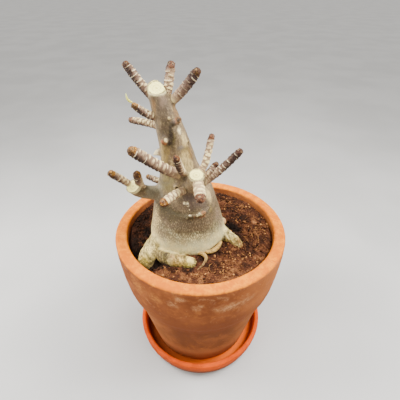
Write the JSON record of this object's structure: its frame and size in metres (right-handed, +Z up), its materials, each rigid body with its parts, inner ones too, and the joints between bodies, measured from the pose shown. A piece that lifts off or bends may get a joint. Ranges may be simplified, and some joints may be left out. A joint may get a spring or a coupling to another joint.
{
  "type": "potted desert rose plant",
  "caption": "Swollen-stemmed desert rose with pruned ringed shoots, standing in coir in a terracotta pot on a matching saucer.",
  "frame": {"origin": "centre of the saucer's underside, on the surface it stands on", "axes": "+Z up, along the plant's height; -Y is the side the plant is seen from; +X to the right from there"},
  "size_m": [0.17, 0.17, 0.3178],
  "materials": {
    "terracotta": "matte",
    "saucer_terracotta": "matte",
    "coir": "matte",
    "bark": "satin",
    "leaf": "satin"
  },
  "bodies": {
    "root": {"saucer": "saucer_terracotta", "pot": "terracotta", "soil": "coir", "caudex_and_stems": "bark", "young_leaf": "leaf"}
  },
  "joints": []
}
